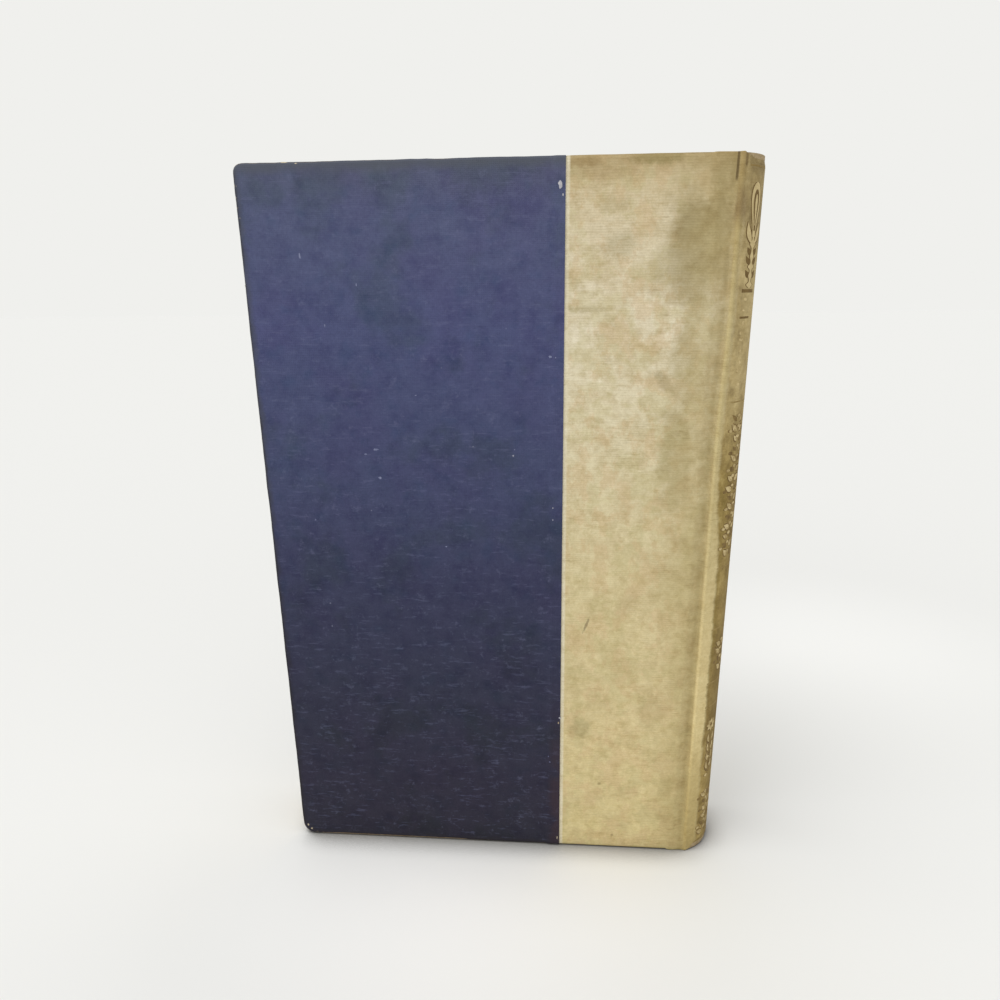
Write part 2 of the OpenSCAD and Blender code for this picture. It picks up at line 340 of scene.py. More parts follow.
    def side_edge(self):
        """X of the side cloth's leaning edge, as slant() has it."""
        return self.z * (-EDGE_LEAN / BOOK_H) + (SIDE_X + EDGE_SHIFT)

    def finish(self, height=None, depth=0.05, strength=1.0):
        """Shows the body, with a height in shares of depth as bump."""
        self.put(self.body, self.surface.inputs["Base Color"])
        if height is not None:
            inputs = {"Strength": strength, "Distance": depth * MM, "Height": height}
            self.put(self.add("Bump", 0, inputs), self.surface.inputs["Normal"])
        return self.material


def side_cloth_material():
    """Dark indigo cloth, lighter and bluer towards the head from fading and a painted sheen of light from
    above, mottled, with grimy edges.
    """
    s = Shader("side_cloth", roughness=0.8, specular=0.15)
    # Lighter and bluer towards the head: partly the cloth's fading, partly a painted sheen of light from
    # above
    s.body = s.ramp(s.z / BOOK_H, [
        (0.0, (52, 51, 62)), (0.12, (54, 53, 68)), (0.27, (57, 59, 77)), (0.43, (64, 67, 92)),
        (0.58, (74, 80, 110)), (0.8, (84, 90, 126)), (0.95, (92, 98, 129)), (1.0, (94, 99, 121)),
    ])

    # Clouds of violet, slate and grey, smaller blots, and rubbed or dirty threads
    for size, shift, low, high, share, colour in (
        (20, 1.0, 0.4, 0.66, 0.5, (255, 238, 252)),
        (6, 2.0, 0.5, 0.7, 0.6, (222, 240, 243)),
        (16, 2.2, 0.5, 0.64, 0.55, (226, 240, 218)),
    ):
        s.tint(s.rise(s.noise(size, 4.0, 0.6, shift=shift), low, high, 0, share), colour)
    blots = s.noise(3.4, 4.0, 0.66, stretch=(1.2, 1, 1.3), shift=2.5)
    s.shade(0.95, blots, [(0.32, (218, 216, 228)), (0.5, (242, 242, 244)), (0.68, WHITE)])
    rubbed = s.noise(1.7, 4.0, 0.72, stretch=(1.5, 1, 1.5), shift=3.0)
    s.coat(s.rise(rubbed, 0.56, 0.72, 0, 0.2), (124, 128, 158))
    crossed = s.noise(1.5, 3.0, 0.7, stretch=(3.0, 1, 0.6), shift=3.2)
    s.coat(s.rise(crossed, 0.55, 0.7, 0, 0.22), (112, 116, 148))
    s.tint(s.rise(crossed, 0.42, 0.3, 0, 0.3), (214, 212, 222))
    s.shade(0.5, s.noise(0.42, 2.0, 0.7, shift=3.5), [(0.3, (206, 206, 210)), (0.7, WHITE)])

    # Grime beside the lap, at the fore edge, the head and the tail
    lap = s.rise(s.side_edge() - s.x, 4.5, 1.6) * s.rise(s.noise(7, 3.0, shift=4.0), 0.3, 0.55)
    s.coat(lap * s.rise(s.z, 62, 16) * 0.7, (60, 47, 54))
    uneven = s.noise(5, 4.0, shift=6.0) * 3.0
    upper = s.rise(s.z, 60, 160)
    in_from_fore = s.x - FORE_X
    s.coat(s.rise(in_from_fore + uneven, 3.8, 2.1, 0, 0.6), s.mix(upper, (46, 43, 48), (74, 77, 86)))
    rim = in_from_fore + s.noise(3, 3.0, shift=9.0) * 1.2
    s.coat(s.rise(rim, 1.7, 1.1, 0, 0.75), s.mix(upper, (38, 35, 38), (58, 58, 62)))
    s.coat(s.rise(BOOK_H - s.z + uneven, 5.2, 2.2, 0, 0.8), (86, 90, 98))
    s.coat(s.rise(s.z + uneven, 3.8, 2.0, 0, 0.7), (50, 46, 50))

    # Pale specks, and the weave
    distance, chance = s.cells(7.0)
    s.coat(s.rise(distance, 0.05, 0.02) * s.rise(chance, 0.66, 0.68) * 0.4, (140, 144, 165))
    weave = s.math("MAXIMUM", s.threads(s.x, 0.5, 2.5) * 0.8, s.threads(s.z, 0.44, 2.5))
    shown = s.rise(s.noise(5, 3.0, shift=8.0), 0.3, 0.7, 0.08, 0.34)
    s.shade(shown, weave, [(0.0, (190, 190, 196)), (1.0, WHITE)])
    return s.finish(weave + s.noise(2.0, 4.0, 0.6, shift=7.0) * 2.0, 0.05, 0.7)


CREAM_STAINS = [
    # x, z, half width, half height, lean, share, colour
    (49.0, 181.0, 11.0, 19.0, 0.0, 0.55, (160, 145, 102)),
    (49.5, 184.5, 8.0, 6.0, 0.0, 0.5, (148, 132, 92)),
    (47.5, 152.0, 5.5, 15.0, 0.0, 0.4, (166, 152, 104)),
    (47.0, 176.0, 13.0, 14.0, 0.0, 0.5, (164, 150, 108)),
    (27.5, 188.5, 5.5, 2.6, 0.0, 0.35, (172, 158, 112)),
    (30.0, 179.5, 6.5, 4.5, 0.0, 0.38, (170, 158, 118)),
    (20.5, 198.3, 6.5, 1.8, 0.0, 0.5, (152, 124, 78)),
    (26.0, 195.5, 8.0, 2.6, 0.0, 0.35, (176, 148, 98)),
    (38.0, 199.0, 9.0, 2.2, 0.0, 0.65, (146, 138, 88)),
    (22.0, 164.5, 8.0, 1.1, 0.0, 0.4, (166, 152, 110)),
    (42.6, 146.0, 3.0, 4.2, -0.7, 0.5, (158, 142, 98)),
    (46.0, 127.0, 6.5, 20.0, 0.0, 0.55, (170, 156, 110)),
    (23.0, 43.5, 4.5, 5.0, 0.0, 0.5, (160, 150, 104)),
    (52.6, 190.0, 2.6, 12.0, 0.0, 0.6, (150, 134, 98)),
    (24.2, 77.3, 0.55, 3.0, 0.36, 0.55, (104, 86, 56)),
    (29.5, 23.8, 0.9, 0.8, 0.0, 0.6, (136, 118, 76)),
    (34.1, 4.6, 0.7, 0.8, 0.0, 0.5, (136, 118, 76)),
    (43.5, 50.0, 5.0, 9.0, 0.0, 0.22, (166, 152, 104)),
    (36.0, 85.0, 4.0, 6.0, 0.3, 0.3, (176, 150, 108)),
]


def cream_cloth_material():
    """Ribbed undyed cloth, stained, darker towards the joint and dirtied over the whole spine, with painted
    shade in the groove and creases and a painted highlight on the ridge.
    """
    s = Shader("cream_cloth", roughness=0.88)
    s.body = s.ramp(s.z / BOOK_H, [
        (0.0, (227, 212, 159)), (0.22, (226, 210, 163)), (0.45, (225, 212, 170)), (0.62, (230, 220, 187)),
        (0.8, (237, 228, 204)), (0.93, (231, 219, 191)), (1.0, (207, 190, 149)),
    ])
    broad = s.noise(24, 4.0, 0.55, shift=11.0)
    patch = s.noise(5.0, 5.0, 0.65, shift=12.0)
    fine = s.noise(1.5, 4.0, 0.65, shift=13.0)
    greenish = s.noise(7, 4.0, 0.65, shift=15.0)
    rosy = s.noise(6, 5.0, 0.7, stretch=(1, 1, 1.5), shift=16.0)
    for mottle, low, high, share, colour in (
        (broad, 0.44, 0.7, 0.28, (196, 182, 138)),
        (patch, 0.46, 0.57, 0.27, (200, 182, 138)),
        (patch, 0.55, 0.63, 0.18, (190, 170, 126)),
        (greenish, 0.48, 0.59, 0.34, (200, 190, 140)),
        (rosy, 0.49, 0.58, 0.38, (214, 186, 144)),
    ):
        s.coat(s.rise(mottle, low, high, 0, share), colour)
    for x, z, wide, tall, lean, share, colour in CREAM_STAINS:
        s.coat(s.stain(x, z, wide, tall, lean) * share, colour)

    # Darker towards the joint, browned at the head and at the tail, with a clean line beside the side cloth
    near_joint = s.rise(s.x + (broad - 0.5) * 16.0, 41, 55, 0, 0.66)
    s.coat(near_joint, s.mix(s.rise(patch, 0.35, 0.65), (196, 180, 130), (180, 162, 112)))
    s.coat(s.rise(BOOK_H - s.z + patch * 12.0, 13, 6, 0, 0.45), (164, 142, 98))
    clean = s.rise(s.x - s.side_edge(), 1.3, 0.7) * s.rise(patch, 0.25, 0.5, 0.6, 0.95)
    s.coat(clean, (236, 228, 202))
    s.coat(s.rise(s.z + patch * 3.0, 2.8, 1.6, 0, 0.5), (166, 158, 96))
    spine_dirt_and_painted_light(s)

    # Ribs where they show, streaks along them, and crisp small mottling
    ribs = s.threads(s.z, 0.62, 3.0)
    broken = s.rise(s.noise(2.6, 3.0, 0.7, stretch=(2.4, 2.4, 1), shift=14.5), 0.46, 0.64)
    shown = s.rise(s.noise(14, 3.0, shift=14.0), 0.42, 0.64, 0.02, 0.3) * broken
    s.shade(shown, ribs, [(0.0, (204, 198, 184)), (1.0, WHITE)])
    streaks = s.noise(0.6, 3.0, 0.65, stretch=(6, 6, 1), shift=14.2)
    where = s.rise(s.noise(8, 4.0, 0.6, stretch=(1.5, 1.5, 1), shift=14.9), 0.42, 0.62, 0.1, 0.5)
    s.shade(where, streaks, [(0.32, (212, 204, 188)), (0.44, (246, 244, 238)), (0.6, WHITE)])
    crisp = s.noise(3.0, 5.0, 0.72, stretch=(1.3, 1.3, 1), shift=12.5)
    s.shade(0.42, crisp, [
        (0.34, (222, 213, 193)), (0.42, (237, 231, 216)), (0.46, (250, 247, 241)), (0.6, WHITE),
    ])
    s.shade(0.7, fine, [(0.3, (226, 221, 209)), (0.7, WHITE)])
    s.shade(0.3, s.noise(0.4, 2.0, 0.7, shift=14.7), [(0.3, (214, 210, 200)), (0.7, WHITE)])
    return s.finish(ribs * 0.7 + fine * 2.2, 0.06, 0.8)


def spine_dirt_and_painted_light(s):
    """Dirt and painted shade in the groove, the ridge beside it with a painted highlight, and the tan spine.
    The numbers are X and Z.
    """
    wobble = (s.noise(4.0, 4.0, 0.7, shift=17.0) - 0.5) * 2.2
    joint_x = s.x - s.rise(s.z, JOINT_LEAN_Z[0], JOINT_LEAN_Z[1], 0, JOINT_LEAN)
    across = joint_x + wobble
    # A darker band in the groove: partly dirt, partly painted shade of the recess
    groove = s.band(joint_x + wobble * 0.25, 55.0, 56.0, 1.3)
    s.coat(groove * s.rise(s.noise(9, 3.0, shift=20.0), 0.3, 0.65, 0.05, 0.36), (150, 131, 80))
    tan_start = s.rise(s.z, 120, 92) * 1.9 + 57.9
    past = across - tan_start
    # The ridge paler than the cloth around it: a painted highlight where it turns to the light
    ridge = s.rise(joint_x, 56.0, 56.6) * s.rise(past, 0.5, -0.4)
    s.coat(ridge * 0.85, s.ramp(s.z / BOOK_H, [
        (0.0, (188, 168, 112)), (0.12, (204, 184, 128)), (0.22, (236, 218, 164)), (0.35, (230, 212, 160)),
        (0.55, (212, 196, 146)), (0.8, (206, 190, 140)), (0.93, (184, 165, 114)), (1.0, (170, 148, 100)),
    ]))

    # Tan, darker below, browned at the head, and darker along the crown and beside the ridge
    mottle = s.noise(3.6, 5.0, 0.7, stretch=(1, 1, 1.6), shift=18.0)
    above = s.ramp(mottle, [
        (0.3, (214, 195, 145)), (0.46, (197, 178, 129)), (0.58, (178, 159, 113)), (0.74, (142, 122, 82)),
    ])
    below = s.ramp(mottle, [
        (0.3, (202, 181, 120)), (0.46, (176, 153, 93)), (0.58, (150, 128, 72)), (0.74, (116, 94, 48)),
    ])
    tan = s.mix(s.rise(s.z, 150, 118), above, below)
    browned = s.mix(s.rise(mottle, 0.4, 0.6), (166, 147, 104), (132, 114, 76))
    tan = s.mix(s.rise(s.z, 172, 188, 0, 0.6), tan, browned)
    crown = s.rise(s.x, 61.2, 64.2) * s.rise(s.z, 158, 122)
    tan = s.mix(crown * 0.5, tan, (128, 106, 54))
    tan = s.mix(s.band(s.z, 40, 66, 12), tan, s.mix(0.5, tan, (124, 102, 52)))
    beside = s.band(s.x, 58.6, 60.6, 0.8) * s.band(s.z, 60, 118, 8)
    tan = s.mix(beside * s.rise(mottle, 0.3, 0.6, 0.2, 0.6), tan, (142, 122, 62))
    s.coat(s.rise(past, -0.3, 0.9, 0, 0.96), tan)

    # A shaded patch near the head, and the painted shade of two creases at the very top
    shaded = s.band(across, 56.5, 58.0, 1.2) * s.band(s.z, 187.0, 190.0, 4.5)
    s.coat(shaded * s.rise(mottle, 0.3, 0.6, 0.3, 0.75), (146, 124, 86))
    top = s.z + s.noise(5, 3.0, shift=19.0) * 2.0
    s.coat(s.band(s.x, 56.5, 56.75, 0.3) * s.rise(top, 194.2, 195.4) * 0.8, (92, 74, 44))
    s.coat(s.band(s.x, 58.5, 58.8, 0.4) * s.rise(top, 197.0, 198.4) * 0.6, (112, 90, 54))


def paper_material(name, light, dark, own_rest=False):
    """Smooth old paper, toned unevenly, with a little fibre in it."""
    s = Shader(name, roughness=0.9, own_rest=own_rest)
    s.body = s.mix(s.rise(s.noise(30, 5.0, 0.6, shift=21.0), 0.35, 0.7), light, dark)
    s.coat(s.rise(s.noise(4, 3.0, 0.7, shift=22.0), 0.68, 0.8, 0, 0.5), (176, 140, 92))
    return s.finish(s.noise(0.6, 3.0, shift=23.0), 0.03, 0.5)


def worn_material(name, fresh, worn):
    """Colour that has partly rubbed away, less so near the head."""
    s = Shader(name)
    share = s.rise(s.noise(1.6, 4.0, 0.7, shift=51.0), 0.4, 0.58) * s.rise(s.z, 158, 172, 1.0, 0.35)
    s.body = s.mix(share, fresh, worn)
    return s.finish(s.noise(0.5, 3.0, shift=52.0), 0.04, 0.6)


def page_edge_material():
    """The cut edges of the leaves, each leaf in its own tone, dusty in places."""
    s = Shader("page_edges", roughness=0.92)
    leaf_tone = s.add("Attribute", "Fac", attribute_name="leaf")
    s.body = s.ramp(leaf_tone, [(0.0, (186, 162, 118)), (0.5, (219, 200, 160)), (1.0, (232, 216, 180))])
    s.coat(s.rise(s.noise(14, 5.0, 0.6, shift=31.0), 0.4, 0.75, 0, 0.45), (178, 152, 108))
    return s.finish(s.noise(0.5, 3.0, shift=32.0, stretch=(3, 0.4, 3)), 0.05, 0.5)


def woven_material(name, light, dark, pitch):
    """An open plain weave, such as mull or a thread's twist."""
    s = Shader(name, roughness=0.9, own_rest=False)
    weave = s.math("MAXIMUM", s.threads(s.y, pitch, 1.0), s.threads(s.z, pitch, 1.0))
    s.body = s.mix(weave, dark, light)
    return s.finish(weave, 0.08)


def band_material():
    """Silk wound round the bands in alternate stripes."""
    s = Shader("band_silk", roughness=0.55, own_rest=False)
    wound = s.threads(s.y, 0.3)
    s.body = s.mix(s.rise(s.threads(s.y, 2.4), 0.45, 0.55), (150, 52, 44), (222, 208, 170))
    s.shade(0.4, wound, [(0.0, (170, 170, 170)), (1.0, WHITE)])
    return s.finish(wound, 0.08)


def board_material(name, light, dark):
    """Grey-brown board or card, flecked and fibrous."""
    s = Shader(name, roughness=0.95, own_rest=False)
    fleck = s.noise(0.9, 5.0, 0.7, shift=41.0)
    s.body = s.mix(s.rise(fleck, 0.3, 0.7), dark, light)
    return s.finish(fleck, 0.1)


# Meshes

def add_piece(name, points, faces, material, attributes=(), crease=50.0):
    """A mesh piece, from points in mm. It keeps its rest place as an attribute for its material."""
    mesh = bpy.data.meshes.new(name)
    points = np.asarray(points, float)
    mesh.from_pydata((points * MM).tolist(), [], [tuple(int(i) for i in face) for face in faces])
    mesh.validate()
    rest = mesh.attributes.new("rest", "FLOAT_VECTOR", "POINT")
    rest.data.foreach_set("vector", points.astype(np.float32).ravel())
    for key, values in attributes:
        layer = mesh.attributes.new(key, "FLOAT", "POINT")
        layer.data.foreach_set("value", np.asarray(values, np.float32))
    mesh.materials.append(material)
    mesh.shade_smooth()
    mesh.set_sharp_from_angle(angle=math.radians(crease))
    piece = bpy.data.objects.new(name, mesh)
    bpy.context.scene.collection.objects.link(piece)
    return piece


def grid_quads(rows, columns):
    """The quads of a grid of points that are stored row by row."""
    corners = [r * columns + c for r in range(rows - 1) for c in range(columns - 1)]
    return [(k, k + 1, k + columns + 1, k + columns) for k in corners]


def thicken(points, quads, thickness):
    """A sheet made solid: a second skin set in by thickness, and a rim along the open edges."""
    points = np.asarray(points, float)
    corners = np.asarray(quads)
    first, second, third, fourth = (points[corners[:, k]] for k in range(4))
    facing = np.cross(third - first, fourth - second)
    normals = np.zeros_like(points)
    for column in range(4):
        np.add.at(normals, corners[:, column], facing)
    normals /= np.maximum(np.linalg.norm(normals, axis=1, keepdims=True), 1e-12)
    count = len(points)
    edges = {(quad[i], quad[(i + 1) % 4]) for quad in quads for i in range(4)}
    rim = [(b, a, a + count, b + count) for a, b in sorted(edges) if (b, a) not in edges]
    back = [tuple(i + count for i in reversed(quad)) for quad in quads]
    return np.vstack([points, points - thickness * normals]), quads + back + rim


def flipped(faces):
    return [tuple(reversed(face)) for face in faces]


def add_sheet(name, points, quads, side, thickness, material):
    """A sheet made solid on the back (-1) or front (1) side.

    Its points are (X, distance out from the middle plane, Z), and its quads face out at the back."""
    points = np.array(points, float)
    points[:, 1] *= side
    points, faces = thicken(points, flipped(quads) if side > 0 else quads, thickness)
    return add_piece(name, points, faces, material)


# Side cloth

def side_depth(x):
    """Depth of the side cloth's face: it steps up where it laps over the quarter cloth."""
    return CLOTH_T * (1 - ease(x, LAP_X - 1.0, LAP_X + 0.3))


def side_seed(side):
    """The seed of a cover's own unevenness."""
    return 3.0 + side


def skin_out(x, z, seed):
    """How far the side cloth's face stands out from the middle plane, slightly uneven."""
    return HALF_T - side_depth(x) + 0.04 * (wander(x, 0, z, 30.0, seed) - 1)


def slant(z):
    """How far the side cloth's edge stands beyond the solid's at a height."""
    return EDGE_SHIFT - EDGE_LEAN * z / BOOK_H


def worn_in(x, z, seed):
    """How far wear has eaten in from a cover's true outline at a place on its edge."""
    wave = 0.10 + 0.12 * wander(x, 0, z, 9.0, seed) + 0.08 * wander(x, 0, z, 2.3, seed + 1)
    tail = 0.4 * (1 - ease(z, 4, 10)) * ease(x, -62, -52) * (1 - ease(x, -14, -11))
    return max(0.0, wave + tail)


def side_cloth_face(seed):
    """The side cloth's face as a grid of places, and the way out of the cover from each on its border."""
    low_x, low_z, high_z = FORE_X + EDGE_R, EDGE_R, BOOK_H - EDGE_R
    near = 6.0
    columns = graded(low_x, (low_x + near, 0.5), (LAP_X - 1.5, 2.0), (SIDE_X, 0.45))
    rows = graded(low_z, (low_z + near, 0.5), (high_z - near, 2.0), (high_z, 0.5))
    face = np.zeros((len(rows), len(columns), 3))
    outward = np.zeros_like(face)
    for r, row_z in enumerate(rows):
        in_z = 1 if row_z < BOOK_H / 2 else -1
        level, radius = (low_z, TAIL_CORNER_R - EDGE_R) if in_z > 0 else (high_z, HEAD_CORNER_R - EDGE_R)
        for c, column_x in enumerate(columns):
            x, z = column_x, row_z
            a = low_x + radius - x
            b = (level + in_z * radius - z) * in_z
            if a > 0 and b > 0:
                reach, span = max(a, b), math.hypot(a, b)
                outward[r, c] = (-a / span, 0, -in_z * b / span)
                x, z = low_x + radius - a / span * reach, level + in_z * (radius - b / span * reach)
            elif c == 0:
                outward[r, c] = (-1, 0, 0)
            else:
                outward[r, c] = (0, 0, -in_z)
            face[r, c] = (x + slant(z) * float(ease(x, LAP_X, SIDE_X)), skin_out(x, z, seed), z)
    return face, outward


def side_cloth_sheet(seed):
    """The side cloth's outer skin: its face, its rounded edges and its mitred turn-ins."""
    face, outward = side_cloth_face(seed)
    count_r, count_c = face.shape[:2]
    points = face.reshape(-1, 3).tolist()
    quads = grid_quads(count_r, count_c)
    border = [(0, c) for c in range(count_c - 1, -1, -1)]
    border += [(r, 0) for r in range(1, count_r)]
    border += [(count_r - 1, c) for c in range(1, count_c)]
    profile = [(EDGE_R * math.sin(a), EDGE_R * (1 - math.cos(a))) for a in np.radians(steps(15, 90, 15))]
    profile += [(EDGE_R, depth) for depth in steps(EDGE_R, INNER_D - INNER_EDGE_R, 0.55)[1:]]
    profile += [
        (EDGE_R - INNER_EDGE_R * (1 - math.cos(a)), INNER_D - INNER_EDGE_R * (1 - math.sin(a)))
        for a in np.radians(steps(30, 90, 30))
    ]
    rounds = [(out_by, depth, 0.0) for out_by, depth in profile]
    rounds += [(*profile[-1], share) for share in steps(0, 1, 0.2)[1:]]
    previous = [r * count_c + c for r, c in border]
    for out_by, depth, turned_in in rounds:
        current = []
        for r, c in border:
            place, way = face[r, c], outward[r, c]
            worn = worn_in(place[0] + way[0], place[2] + way[2], seed)
            edge = place + way * (out_by - worn * min(1.0, out_by / EDGE_R))
            edge[1] = HALF_T - depth - side_depth(place[0]) * max(0.0, 1 - depth / INNER_D)
            flange_z = min(max(place[2], TURN_IN), BOOK_H - TURN_IN)
            flange = np.array([max(place[0], FORE_X + TURN_IN), edge[1], flange_z])
            edge = edge + (flange - edge) * turned_in
            current.append(len(points))
            points.append(edge.tolist())
        for i in range(len(border) - 1):
            quads.append((previous[i], previous[i + 1], current[i + 1], current[i]))
        previous = current
    return np.array(points), quads


def add_side_cloth(side, body, material):
    points, quads = side_cloth_sheet(side_seed(side))
    piece = add_sheet(f"{SIDES[side]}_side_cloth_skin", points, quads, side, SKIN_T, material)
    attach(piece, body)
    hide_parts(f"{SIDES[side]}_side_cloth")


# Quarter cloth, joints and spine

def arc_point(centre, radius, degrees):
    angle = math.radians(degrees)
    return np.array([centre[0] + radius * math.cos(angle), centre[1] + radius * math.sin(angle)])


def joint_profile():
    """The cloth in plan over a cover and its joint, as pairs of outer and inner points (X, out)."""
    lapped = HALF_T - CLOTH_T
    inner = HALF_T - INNER_D
    outers, inners = [], []
    fold_x = JOINT_X - 0.6
    for x in graded(LAP_X, (SIDE_X + 1.5, 0.5), (fold_x, 1.4)):
        outers.append((x, lapped))
        inners.append((x, inner))
    for x in steps(fold_x, TROUGH_X, 0.2)[1:]:
        outers.append((x, lapped - TROUGH_DEPTH * float(ease(x, JOINT_X + 1.2, TROUGH_X))))
    ridge = (RIDGE_X, RIDGE_OUT)
    foot = np.array((TROUGH_X, lapped - TROUGH_DEPTH))
    crest = arc_point(ridge, RIDGE_R, 180 - RIDGE_DIR)
    run_out = np.array((0.5, 0.0))
    climb = math.radians(RIDGE_DIR)
    run_in = 0.6 * np.array((math.sin(climb), math.cos(climb)))
    for t in steps(0, 1, 0.125)[1:]:
        outers.append(tuple(
            (2 * t ** 3 - 3 * t ** 2 + 1) * foot + (t ** 3 - 2 * t ** 2 + t) * run_out
            + (3 * t ** 2 - 2 * t ** 3) * crest + (t ** 3 - t ** 2) * run_in
        ))
    folded = len(inners)
    under = offset_path(np.array(outers[folded - 1:]), 2 * CLOTH_T)[1:]
    fold = np.array([
        (fold_x, inner), (JOINT_X - 0.15, inner + 0.15), (JOINT_X, inner + 0.5),
        (JOINT_X, inner + 1.4), (JOINT_X + 0.1, inner + 1.9), (JOINT_X + 0.4, inner + 2.15),
    ])
    spare = int((under[:, 0] < JOINT_X + 0.9).sum())
    for i in range(spare):
        share = (i + 1) / spare * (len(fold) - 1)
        k = min(int(share), len(fold) - 2)
        inners.append(tuple(fold[k] + (share - k) * (fold[k + 1] - fold[k])))
    inners += [tuple(point) for point in under[spare:]]
    for angle in steps(180 - RIDGE_DIR, SPINE_HALF_A, 4.6)[1:]:
        outers.append(tuple(arc_point(ridge, RIDGE_R, angle)))
        inners.append(tuple(arc_point(ridge, RIDGE_R - 2 * CLOTH_T, angle)))
    for angle in steps(SPINE_HALF_A, SPLIT_A, 1.2)[1:]:
        outer, inner_point = spine_pair(angle)
        outers.append(outer)
        inners.append(inner_point)
    return np.array(outers), np.array(inners)


def offset_path(points, distance):
    """A path in plan moved inwards, to the right of its run towards the spine."""
    run = np.gradient(points, axis=0)
    run /= np.linalg.norm(run, axis=1, keepdims=True)
    return points + distance * np.stack([run[:, 1], -run[:, 0]], axis=1)


def spine_pair(angle):
    """Outer and inner point of the turned-in spine cloth, with the inlay between its layers."""
    inlay = INLAY_T * float(ease(SPINE_HALF_A - abs(angle), 0.5, INLAY_STOP + 1.0))
    return (
        tuple(arc_point((SPINE_X, 0), SPINE_FACE_R, angle)),
        tuple(arc_point((SPINE_X, 0), SPINE_R - 2 * CLOTH_T - inlay, angle)),
    )


def edge_loop(thickness, low, high):
    """A strand of cloth from the tail's turn-in, round the tail, up the face and round the head.

    Gives (share from the inner to the outer face, Z) for each of its points."""
    radius = min(EDGE_R, thickness / 2)
    angles = np.radians(steps(0, 90, 18))
    end = [(0.0, z) for z in np.linspace(TURN_IN, radius, 7)[:-1]]
    end += [(radius * (1 - math.cos(a)) / thickness, radius * (1 - math.sin(a))) for a in angles]
    end += [(1 - radius * (1 - math.sin(a)) / thickness, radius * (1 - math.cos(a))) for a in angles]
    loop = [(share, low + z) for share, z in end]
    loop += [(1.0, z) for z in np.linspace(low + radius, high - radius, 101)[1:-1]]
    return loop + [(share, high - z) for share, z in reversed(end)]


def worn_ends(x, out, cap):
    """How far wear has taken the cream cloth down at the head and up at the tail."""
    ragged = cap * 0.35 * max(0.0, wander(x, out, 0, 2.6, 5.0))
    dip = DIP_DEEP * math.exp(-((x - DIP_X) / DIP_WIDE) ** 2)
    at_head = 0.08 + 0.08 * wander(x, out, 0, 6.0, 5.0) + ragged + dip
    at_tail = 0.06 + 0.06 * wander(x, out, 50, 6.0, 5.0)
    return at_head, at_tail


def cloth_grid(outers, inners, side):
    """Points of the cream cloth, strand by strand, in plan and up. The spine's ends are worn round."""
    rows = []
    lapped = HALF_T - CLOTH_T
    for outer, inner in zip(np.asarray(outers), np.asarray(inners)):
        x, out = outer
        under = 1 - float(ease(x, *LAP_STEP))
        turn = math.degrees(math.atan2(abs(out), max(x - SPINE_X, 0.1)))
        cap = float(ease(SPINE_HALF_A - turn, 0, 24)) if x > RIDGE_X else 0.0
        worn_head, worn_tail = worn_ends(x, side * out, cap)
        trough = (lapped - out) * (1 - float(ease(x, RIDGE_X - 0.9, RIDGE_X)))
        thickness = float(np.linalg.norm(outer - inner))
        low, high = CLOTH_T * under + worn_tail, BOOK_H - CLOTH_T * under - worn_head
        strand = []
        for share, z in edge_loop(thickness, low, high):
            place = inner + share * (outer - inner)
            filled = 0.75 * (1 - float(ease(z, 0, 9))) + 0.5 * float(ease(z, BOOK_H - 8, BOOK_H))
            leaning = float(ease(z, *JOINT_LEAN_Z) * ease(x, 52.5, 55.0) * (1 - ease(x, RIDGE_X + 0.4, 58.6)))
            place = place + np.array((JOINT_LEAN * leaning, trough * filled))
            drawn = cap * (1.5 * max(0.0, 1 - z / 3.2) ** 2 + 0.8 * max(0.0, 1 - (BOOK_H - z) / 2.4) ** 2)
            from_middle = place - np.array((SPINE_X, 0))
            place = place - from_middle / np.linalg.norm(from_middle) * drawn
            strand.append((place[0], place[1], z))
        rows.append(strand)
    return np.array(rows)


def add_cream_sheet(name, outers, inners, side, material):
    """A run of the cream cloth, from its outer and inner points in plan."""
    grid = cloth_grid(outers, inners, side)
    quads = flipped(grid_quads(*grid.shape[:2]))
    return add_sheet(name, grid.reshape(-1, 3), quads, side, SKIN_T, material)


def add_joint_cloth(side, material):
    """Cloth from under the side cloth, through the groove and over the ridge to the spine."""
    outers, inners = joint_profile()
    inners = inners + np.outer(1 - ease(outers[:, 0], *LAP_STEP), (0, CLOTH_T))
    piece = add_cream_sheet(f"{SIDES[side]}_joint_cloth", outers, inners, side, material)
    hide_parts(f"{SIDES[side]}_quarter_cloth")
    ridge_foot = AXIS_X + GROOVE_R * math.cos(math.radians(RIDGE_DIR))
    ridge_foot * MM
    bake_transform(piece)


def add_spine_cloth(material):
    angles = steps(SPLIT_A, -SPLIT_A, 1.2)
    pairs = [spine_pair(angle) for angle in angles]
    outers, inners = [p[0] for p in pairs], [p[1] for p in pairs]
    piece = add_cream_sheet("spine_cloth_skin", outers, inners, 1, material)
    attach(piece, "text_and_spine")
    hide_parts("spine_cloth")


# Tooling on the spine

def leaf(foot, heading, length, bend, broad):
    """A leaf, as a short bent path and its widths."""
    place, angle = np.array(foot, float), heading
    path = [place]
    runs = 9
    for _ in range(runs):
        angle += bend / runs
        place = place + length / runs * np.array((math.cos(angle), math.sin(angle)))
        path.append(place)
    share = np.linspace(0, 1, len(path))
    return np.array(path), broad * np.sin(math.pi * np.clip(share, 0.04, 0.96) ** 0.8)


